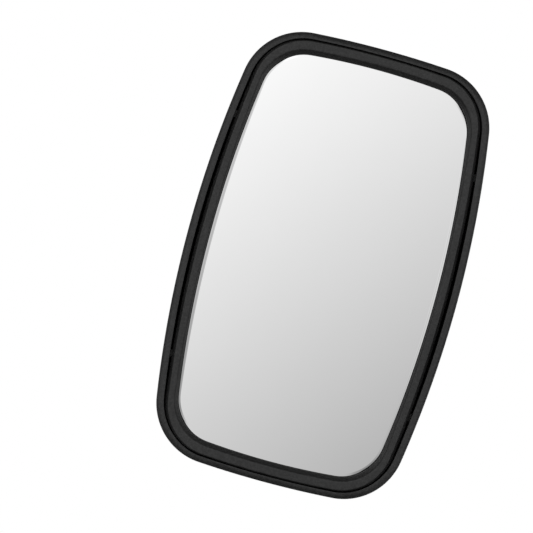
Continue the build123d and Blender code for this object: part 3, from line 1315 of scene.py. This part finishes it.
    def panel_tool(self) -> bpy.types.Object:
        """Tool that sinks the plain field in the back.

        Returns:
            The tool; its floor follows the crowned back.
        """
        half_x, half_z = self.panel_half
        middle = self.layout.middle_z - self.panel_drop
        steps_x, steps_z = self.panel_grid
        xs = np.linspace(-half_x, half_x, steps_x)
        zs = middle + np.linspace(-half_z, half_z, steps_z)
        x, z = (grid.ravel() for grid in np.meshgrid(xs, zs))
        low = self.layout.crown_y(x, z) - self.panel_depth
        points = np.concatenate([np.stack([x, low, z], 1), np.stack([x, low + 4.0, z], 1)])
        base = len(x)
        faces = []
        for j in range(steps_z - 1):
            for i in range(steps_x - 1):
                a = j * steps_x + i
                quad = (a, a + 1, a + 1 + steps_x, a + steps_x)
                faces.append(quad)
                faces.append(tuple(base + c for c in reversed(quad)))
        floor_faces = len(faces)
        rim = list(range(steps_x)) + [j * steps_x + steps_x - 1 for j in range(1, steps_z)]
        rim += [(steps_z - 1) * steps_x + i for i in range(steps_x - 2, -1, -1)]
        rim += [j * steps_x for j in range(steps_z - 2, 0, -1)]
        for a, b in zip(rim, rim[1:] + rim[:1]):
            faces.append((b, a, base + a, base + b))
        tool = mesh_object("panel_tool", points * MM, faces, SHELL_PLASTIC)
        tool.data.materials.append(PANEL_PLASTIC.material())
        for face in tool.data.polygons[:floor_faces]:
            face.material_index = 1
        outward(tool)
        return tool

    def build(self) -> bpy.types.Object:
        """Make the shell and cut its openings.

        Returns:
            The shell.
        """
        outer = self.outer_loops()
        border = outer[-1]
        back = self.spread(border, self.seat_radius + 0.4, 46, False)
        rings = outer + back + self.seat_loops(border) + self.inner_loops()
        shell = skin("rear_shell_finished", rings, SHELL_PLASTIC, closed=True)
        shell.data.materials.append(PANEL_PLASTIC.material())
        bottom = self.layout.middle_z - self.outline.half_height
        below, above = self.entry_reach
        entry = slot_tool("entry_tool", *self.entry_half, bottom - below, bottom + above)
        carve(shell, [self.panel_tool(), entry, *self.windows()])
        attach(shell, Body.HEAD.value)
        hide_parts("rear_shell")
        return shell

    def seat_ribs(self) -> bpy.types.Object:
        """Eight ribs that run out from the seat, repeated around the clamp axis.

        Returns:
            The ribs as one piece.
        """
        y_low = self.layout.back - self.seat_depth - self.seat_thickness
        y_high = self.layout.back - self.wall + 0.4
        start = self.seat_radius + self.seat_wall - 0.6
        low = (start, y_low, -self.rib_half)
        high = (start + self.rib_length, y_high, self.rib_half)
        rib = block("shell_ribs", low, high, SHELL_PLASTIC, self.rib_edge)
        ribs = around_axis(SHELL_PLASTIC, "turned_ribs").grow(rib, {"Count": self.rib_count})
        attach(ribs, Body.HEAD.value)
        return ribs


@dataclass
class FrontRing:
    """Moulded frame around the glass: chamfered outer edge, broad face, sloping flank, hooks."""

    layout: Layout
    outline: Barrel = Barrel(86.2, 144.9, 830.0, 615.0, 36.0)
    pocket: Barrel = Barrel(83.3, 141.6, 828.0, 613.0, 35.5)
    flank: Barrel = Barrel(79.6, 138.4, 924.0, 524.0, 31.8)
    depth: float = 16.0
    edge_side: float = 2.1
    edge_end: float = 0.9
    edge_slope: float = math.tan(math.radians(58.0))
    inner_round: float = 0.45
    slope: float = math.tan(math.radians(25.0))
    reach: float = 2.6
    least_drop: float = 0.05
    seal: float = 0.8
    hook_half: tuple[float, float] = (1.2, 2.45)
    hook_reach: tuple[float, float] = (80.4, 86.75)

    def lip(self) -> tuple[np.ndarray, np.ndarray]:
        """Where the flank meets the seal.

        Returns:
            Inset from the flank's outline and y, for each point.
        """
        inset = np.full(len(self.flank.loop()), 1.0)
        for _ in range(6):
            spot = self.flank.loop(inset)
            y = self.layout.glass_y(spot[:, 0], spot[:, 1] + self.layout.middle_z) - self.seal
            inset = np.minimum((y - self.layout.front) * self.slope, self.reach)
        return inset, y

    def build(self) -> bpy.types.Object:
        """Make the ring.

        Returns:
            The ring.
        """
        layout = self.layout
        front, rear = layout.front, layout.front + self.depth
        rings = [layout.ring(self.outline, 0.5, rear), layout.ring(self.outline, 0.0, rear - 0.5)]
        rings.append(layout.ring(self.outline, 0.0, front + 10.0))
        edge = self.edge_end + (self.edge_side - self.edge_end) * self.outline.normals()[:, 0] ** 2
        for share, fall in ((0.0, 0.4), (0.06, 0.0), (0.35, 0.0), (0.65, 0.0), (0.88, 0.0), (0.97, 0.03)):
            y = front + edge * self.edge_slope * (1 - share) + fall
            rings.append(layout.ring(self.outline, edge * share, y))
        rings.append(layout.ring(self.outline, edge + 0.18, front + 0.04))
        rings.append(layout.ring(self.outline, edge + 0.5, front))
        outer = rings[-1]
        inner = layout.ring(self.flank, -self.inner_round, front)
        rings += [outer + (inner - outer) * step / 5 for step in range(1, 6)]
        inset, lip_y = self.lip()
        for share in (0.35, 0.7, 1.0):
            fall = self.inner_round * share**2
            lean = (share - 1) * self.inner_round + fall * self.slope
            rings.append(layout.ring(self.flank, lean, front + fall))
        first = len(rings) - 1
        top = rings[-1]
        bend = layout.ring(self.flank, inset, front + inset / self.slope)
        foot = layout.ring(self.flank, inset, lip_y)
        rings += [top + (bend - top) * step / 4 for step in range(1, 5)]
        lowest = bend + (0.0, self.least_drop, 0.0)
        rings.append(np.where((foot - bend)[:, 1:2] > self.least_drop, foot, lowest))
        last = len(rings)
        seat = self.pocket.loop()
        seat_y = layout.glass_y(seat[:, 0], seat[:, 1] + layout.middle_z) - self.seal
        rings.append(layout.ring(self.pocket, 0.0, seat_y))
        rings.append(layout.ring(self.pocket, 0.0, rear - 0.4))
        rings.append(layout.ring(self.pocket, -0.4, rear))
        ring = skin("front_ring_finished", rings, RING_PLASTIC, closed=True)
        # The sloping flank down to the glass gets the darker copy of the ring's plastic: painted shade next
        # to the glass.
        ring.data.materials.append(FLANK_SHADED_PLASTIC.material())
        count = len(top)
        for face in ring.data.polygons[first * count:last * count]:
            face.material_index = 1
        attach(ring, Body.HEAD.value)
        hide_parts("front_ring")
        return ring

    def hooks(self) -> bpy.types.Object:
        """Four snap hooks, one pair repeated on the other side.

        Returns:
            The hooks as one piece.
        """
        half_y, half_z = self.hook_half
        root, tip = self.hook_reach
        y = self.layout.snap_y
        profile = [(root, y + half_y + 0.6), (tip, y + half_y), (tip, y - half_y), (root, y - half_y)]
        points, faces = [], []
        for rise in (-self.layout.snap_rise, self.layout.snap_rise):
            base = len(points)
            points += [(px, py, rise + side * half_z) for side in (-1, 1) for px, py in profile]
            faces += [tuple(base + i for i in (0, 1, 2, 3)), tuple(base + i for i in (7, 6, 5, 4))]
            faces += [(base + i, base + (i + 1) % 4, base + (i + 1) % 4 + 4, base + i + 4) for i in range(4)]
        pair = mesh_object("ring_hooks", np.array(points) * MM, faces, RING_PLASTIC)
        outward(pair)
        numbers = {"Count": 2, "Centre Z": self.layout.middle_z * MM}
        hooks = around_axis(RING_PLASTIC, "mirrored_hooks").grow(pair, numbers)
        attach(hooks, Body.HEAD.value)
        return hooks


@dataclass
class MirrorGlass:
    """Convex glass with a strip along each long edge that falls off a little."""

    layout: Layout
    outline: Barrel = Barrel(81.2, 139.4, 870.0, 560.0, 34.5)
    thickness: float = 2.0
    edge: float = 0.4
    strip: float = 5.2
    strip_fall: float = math.tan(math.radians(8.0))
    rings: int = 30

    def face(self, behind: float, inset: float, scale: float = 1.0) -> Ring:
        """Loop on one face of the glass, with the ground strip falling off along both long edges.

        Args:
            behind: distance behind the front face.
            inset: distance inwards from the outline.
            scale: size relative to the outline.

        Returns:
            Array of x, y, z.
        """
        flat = self.outline.loop(inset) * scale
        z = flat[:, 1] + self.layout.middle_z
        y = self.layout.glass_y(flat[:, 0], z, behind)
        if behind < self.edge and scale == 1.0:
            long_edge = ease((np.abs(self.outline.normals()[:, 0]) - 0.35) / 0.4)
            y = y + long_edge * self.strip_fall * max(0.0, self.strip - inset)
        return np.stack([flat[:, 0], y, z], 1)

    def build(self) -> bpy.types.Object:
        """Make the glass.

        Returns:
            The glass.
        """
        scales = [(step + 0.25) / (self.rings + 0.25) for step in range(self.rings)]
        start = self.strip + 0.1
        loops = [self.face(0.0, start, scale) for scale in scales]
        insets = (start, self.strip, self.strip - 0.1, 3.5, 2.0, self.edge)
        loops += [self.face(0.0, inset) for inset in insets]
        loops += [self.face(self.edge + 0.6, 0.0), self.face(self.thickness - self.edge, 0.0)]
        loops += [self.face(self.thickness, self.edge)]
        loops += [self.face(self.thickness, self.edge, scale) for scale in scales[::-5]]
        glass = skin("mirror_glass_finished", loops, SILVERED_GLASS, cap=True)
        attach(glass, Body.HEAD.value)
        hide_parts("mirror_glass")
        return glass


@dataclass
class OuterJaw:
    """Round disc with a lipped face, counterbores and half of the tube groove."""

    layout: Layout
    radius: float = 28.35
    face_depth: float = 2.0
    plate_depth: float = 6.5
    boss_radius: float = 23.92
    boss_depth: float = 30.0
    groove_radius: float = 11.5
    bore_radius: float = 6.0
    bore_depth: float = 11.8
    hole_radius: float = 3.2

    def profile(self) -> list[tuple[float, float]]:
        """Half section of the disc.

        Returns:
            Radius and y of each point, from the face's middle to the boss's end.
        """
        face = self.face_depth
        corners = [(self.radius - 3.0, face + 0.6, 0.2), (self.radius - 2.0, face + 0.75, 0.2)]
        corners += [(self.radius - 1.95, face + 1.2, 0.15), (self.radius - 1.25, face + 1.2, 0.15)]
        corners += [(self.radius - 1.2, face, 0.25), (self.radius, face, 0.5)]
        corners += [(self.radius, self.plate_depth, 0.3), (self.boss_radius, self.plate_depth, 0.0)]
        corners += [(self.boss_radius, self.boss_depth, 0.5)]
        middle = [(0.0, face + 0.2, 0.0)]
        edge = self.radius - 3.0
        for step in range(1, 12):
            radius = edge * step / 12
            middle.append((radius, face + 0.2 + 0.4 * (step / 12) ** 2, 0.0))
        outline = rounded([*middle, *corners, (0.0, self.boss_depth, 0.0)])
        return [(radius, self.layout.back - depth) for radius, depth in outline]

    def build(self) -> bpy.types.Object:
        """Turn the disc, then cut the bores and the groove.

        Returns:
            The disc.
        """
        disc = lathe("clamp_disc_finished", self.profile(), DISC_PLASTIC, count=144)
        back = self.layout.back
        tools = [slot_tool("groove_tool", self.groove_radius, self.groove_radius, -40.0, 40.0)]
        for x in (-self.layout.screw_x, self.layout.screw_x):
            tools.append(self.bore(x, self.bore_radius, back + 2.0, back - self.bore_depth))
            tools.append(self.bore(x, self.hole_radius, back - self.bore_depth + 1.0, -3.0))
        carve(disc, tools)
        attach(disc, Body.JAW.value)
        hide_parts("clamp_disc")
        return disc

    def bore(self, x: float, radius: float, high: float, low: float) -> bpy.types.Object:
        """Round tool parallel to Y.

        Args:
            x: place of its axis.
            radius: radius of the bore.
            high: y of its outer end.
            low: y of its inner end.

        Returns:
            The tool.
        """
        profile = [(0.0, high), (radius, high), (radius, low), (0.0, low)]
        return lathe("bore_tool", profile, DISC_PLASTIC, x, 64)


@dataclass
class CapScrew:
    """Socket head screw with a knurled head and rings of grooves for its thread."""

    layout: Layout
    node: str
    body: Body
    x: float
    head_radius: float = 5.0
    head_depth: float = 3.0
    seat_depth: float = 9.0
    key_flats: float = 5.0
    key_depth: float = 3.2
    shank_radius: float = 2.95
    length: float = 40.0
    pitch: float = 1.0
    thread_length: float = 24.0
    ridges: int = 36
    knurl_height: float = 0.18
    knurl_half: float = 0.24
    knurl_edge: float = 0.12

    def profile(self) -> list[tuple[float, float]]:
        """Half section of the screw.

        Returns:
            Radius and y of each point, from the head's top to the tip.
        """
        top, seat = self.head_depth, self.seat_depth
        tip = seat + self.length
        side = self.head_radius - self.knurl_height
        corners = [(0.0, top, 0.0), (self.head_radius - 0.75, top, 0.0), (side, top + 0.5, 0.15)]
        corners += [(side, seat, 0.2), (self.shank_radius, seat, 0.0)]
        points = rounded(corners, steps=3)
        start = tip - self.thread_length
        points.append((self.shank_radius, start - 0.4))
        for turn in range(int(self.thread_length / self.pitch) - 1):
            crest = start + turn * self.pitch
            points += [(self.shank_radius - 0.5, crest + 0.1), (self.shank_radius, crest + 0.45)]
            points.append((self.shank_radius, crest + 0.6))
        points += [(self.shank_radius, tip - 0.8), (self.shank_radius - 0.8, tip), (0.0, tip)]
        return [(radius, self.layout.back - depth) for radius, depth in points]

    def build(self) -> bpy.types.Object:
        """Turn the screw and cut its key hexagon.

        Returns:
            The screw.
        """
        screw = lathe(self.node + "_finished", self.profile(), SCREW_STEEL, self.x, 48)
        back = self.layout.back
        across = self.key_flats / math.sqrt(3)
        high, low = back - self.head_depth + 1.0, back - self.head_depth - self.key_depth
        socket = [(0.0, high), (across, high), (across, low), (0.0, low - 1.2)]
        mouth = [(0.0, high), (across + 1.45, high), (across - 0.1, high - 1.55), (0.0, high - 1.55)]
        tools = [lathe("key_tool", socket, SCREW_STEEL, self.x, 6)]
        tools.append(lathe("mouth_tool", mouth, SCREW_STEEL, self.x, 48))
        carve(screw, tools)
        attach(screw, self.body.value)
        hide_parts(self.node)
        return screw

    def knurl(self) -> bpy.types.Object:
        """Straight ridges around the head.

        Returns:
            The ridges as one piece.
        """
        back = self.layout.back
        low, high = back - self.seat_depth + 1.0, back - self.head_depth - 0.75
        radius, half = self.head_radius, self.knurl_half
        low_corner, high_corner = (radius - 0.5, low, -half), (radius - 0.02, high, half)
        ridge = block(self.node + "_knurl", low_corner, high_corner, SCREW_STEEL, self.knurl_edge)
        numbers = {"Count": self.ridges, "Centre X": self.x * MM}
        ridges = around_axis(SCREW_STEEL, self.node + "_ridges").grow(ridge, numbers)
        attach(ridges, self.body.value)
        return ridges


@dataclass
class KeptPieces:
    """Frame pieces whose shape is right and that only get a finish."""

    finishes: dict[str, Finish]

    def dress(self, frame: dict) -> int:
        """Give each piece its finish.

        Args:
            frame: the loaded frame.

        Returns:
            The number of pieces.
        """
        for node, finish in self.finishes.items():
            for slot in frame["nodes"][node].material_slots:
                slot.material = finish.material()
        return len(self.finishes)


# ---- studio ---------------------------------------------------------------------------------------


@dataclass
class Studio:
    """White surroundings with a soft window of light in front, a pale floor and the camera.

    Distance and offset are in metres, the floor's sizes in millimetres. Each pair called spread,
    depth, reach, gap_start or gap_end is a range of the unit direction: none of the light at the
    first value, all of it at the second. Flattening weighs height against width.
    """

    layout: Layout
    lens: float = 200.0
    sensor: float = 36.0
    distance: float = 1.974
    roll: float = math.radians(15.08)
    offset: tuple[float, float] = (0.03763, 0.00066)
    glow: float = 0.683
    slope: tuple[float, float] = (-0.97, 0.82)
    cone: tuple[float, float] = (0.20, 0.31)
    flattening: float = 2.6
    ahead_spread: tuple[float, float] = (0.98, 0.52)
    ahead_depth: tuple[float, float] = (0.05, -0.25)
    sides: float = 0.85
    side_reach: tuple[float, float] = (0.34, 0.62)
    left_gap: float = 0.45
    gap_start: tuple[float, float] = (-0.24, -0.34)
    gap_end: tuple[float, float] = (-0.65, -0.48)
    dark: float = 0.10
    flank_level: float = 0.20
    flank_reach: tuple[float, float] = (0.55, 0.95)
    behind_spread: tuple[float, float] = (0.80, 0.15)
    behind_depth: tuple[float, float] = (-0.05, 0.25)
    back_level: float = 2.3
    back_slope: tuple[float, float] = (6.0, -7.0)
    back_limits: tuple[float, float] = (0.5, 5.0)
    floor_drop: float = 600.0
    floor_radius: float = 1200.0
    floor_sides: int = 96

    def surroundings(self) -> None:
        """White to the camera; for light and reflections, a graded window ahead and dark sides."""
        world = bpy.data.worlds.new("soft_studio")
        bpy.context.scene.world = world
        world.use_nodes = True
        board = Board(world.node_tree)
        way = board.add("ShaderNodeTexCoord", output="Generated")
        axes = board.node("ShaderNodeSeparateXYZ", None, {"Vector": way})
        x, y, z = (Wire(board, axes.outputs[i]) for i in range(3))
        spread = (x * x + z * z * self.flattening).root()
        ahead = spread.within(*self.ahead_spread) * y.within(*self.ahead_depth)
        behind = spread.within(*self.behind_spread) * y.within(*self.behind_depth)
        across, along = (
            board.add("ShaderNodeClamp", None, {"Value": part, "Min": -limit, "Max": limit})
            for part, limit in zip((x, z), self.cone)
        )
        window = across * self.slope[0] + along * self.slope[1] + self.glow
        window = window + abs(x).within(*self.side_reach) * self.sides
        window = window - x.within(*self.gap_start) * x.within(*self.gap_end) * self.left_gap
        rear = x * self.back_slope[0] + z * self.back_slope[1] + self.back_level
        low, high = self.back_limits
        rear = board.add("ShaderNodeClamp", None, {"Value": rear, "Min": low, "Max": high})
        flanks = abs(x).within(*self.flank_reach) * self.flank_level
        level = ahead * window + behind * rear + flanks + self.dark
        ray = board.add("ShaderNodeLightPath", output="Is Camera Ray")
        lit = board.add("ShaderNodeBackground", None, {"Color": grey(1.0), "Strength": level})
        seen = board.add("ShaderNodeBackground", None, {"Color": grey(1.0), "Strength": 1.0})
        both = board.add("ShaderNodeMixShader", None, {0: ray, 1: lit, 2: seen})
        board.node("ShaderNodeOutputWorld", None, {"Surface": both})

    def floor(self) -> bpy.types.Object:
        """Pale round floor below the object.

        Returns:
            The floor.
        """
        top = self.layout.middle_z - self.floor_drop
        turn = np.linspace(0, 2 * math.pi, self.floor_sides, endpoint=False)
        x, y = self.floor_radius * np.cos(turn), self.floor_radius * np.sin(turn)
        points = np.stack([x, y, np.full(self.floor_sides, top)], 1)
        floor = mesh_object("floor", points * MM, [range(self.floor_sides)], FLOOR_PAINT)
        floor.visible_diffuse = False
        floor.visible_glossy = False
        return floor

    def camera(self) -> bpy.types.Object:
        """Camera square to the glass, turned about its line of sight.

        Returns:
            The camera.
        """
        right = Vector((math.cos(self.roll), 0.0, math.sin(self.roll)))
        up = Vector((-math.sin(self.roll), 0.0, math.cos(self.roll)))
        middle = Vector((0.0, self.layout.front * MM, self.layout.middle_z * MM))
        place = middle - right * self.offset[0] - up * self.offset[1] - Vector((0.0, self.distance, 0.0))
        data = bpy.data.cameras.new("camera")
        data.lens = self.lens
        data.sensor_width = self.sensor
        data.clip_end = 50.0
        camera = bpy.data.objects.new("camera", data)
        bpy.context.scene.collection.objects.link(camera)
        axes = Matrix((right, up, Vector((0.0, -1.0, 0.0)))).transposed()
        camera.matrix_world = Matrix.Translation(place) @ axes.to_4x4()
        bpy.context.scene.camera = camera
        return camera

    def build(self) -> None:
        """Set up everything around the object."""
        bpy.context.scene.view_settings.view_transform = "Standard"
        self.surroundings()
        self.floor()
        self.camera()


def main() -> None:
    """Load the frame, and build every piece."""
    logging.basicConfig(level=logging.INFO, format="%(message)s")
    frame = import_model()
    layout = Layout.from_frame()
    shell = BackShell(layout)
    ring = FrontRing(layout)
    left = CapScrew(layout, "clamp_screw_left", Body.SCREW_LEFT, -layout.screw_x)
    right = CapScrew(layout, "clamp_screw_right", Body.SCREW_RIGHT, layout.screw_x)
    steps = [shell.build, shell.seat_ribs, ring.build, ring.hooks, MirrorGlass(layout).build]
    steps += [OuterJaw(layout).build, left.build, left.knurl, right.build, right.knurl]
    for make in steps:
        piece = make()
        LOG.info("%s: %d faces", piece.name, len(piece.data.polygons))
    LOG.info("%d kept pieces dressed", KeptPieces(KEPT).dress(frame))
    Studio(layout).build()


if __name__ == "__main__":
    main()
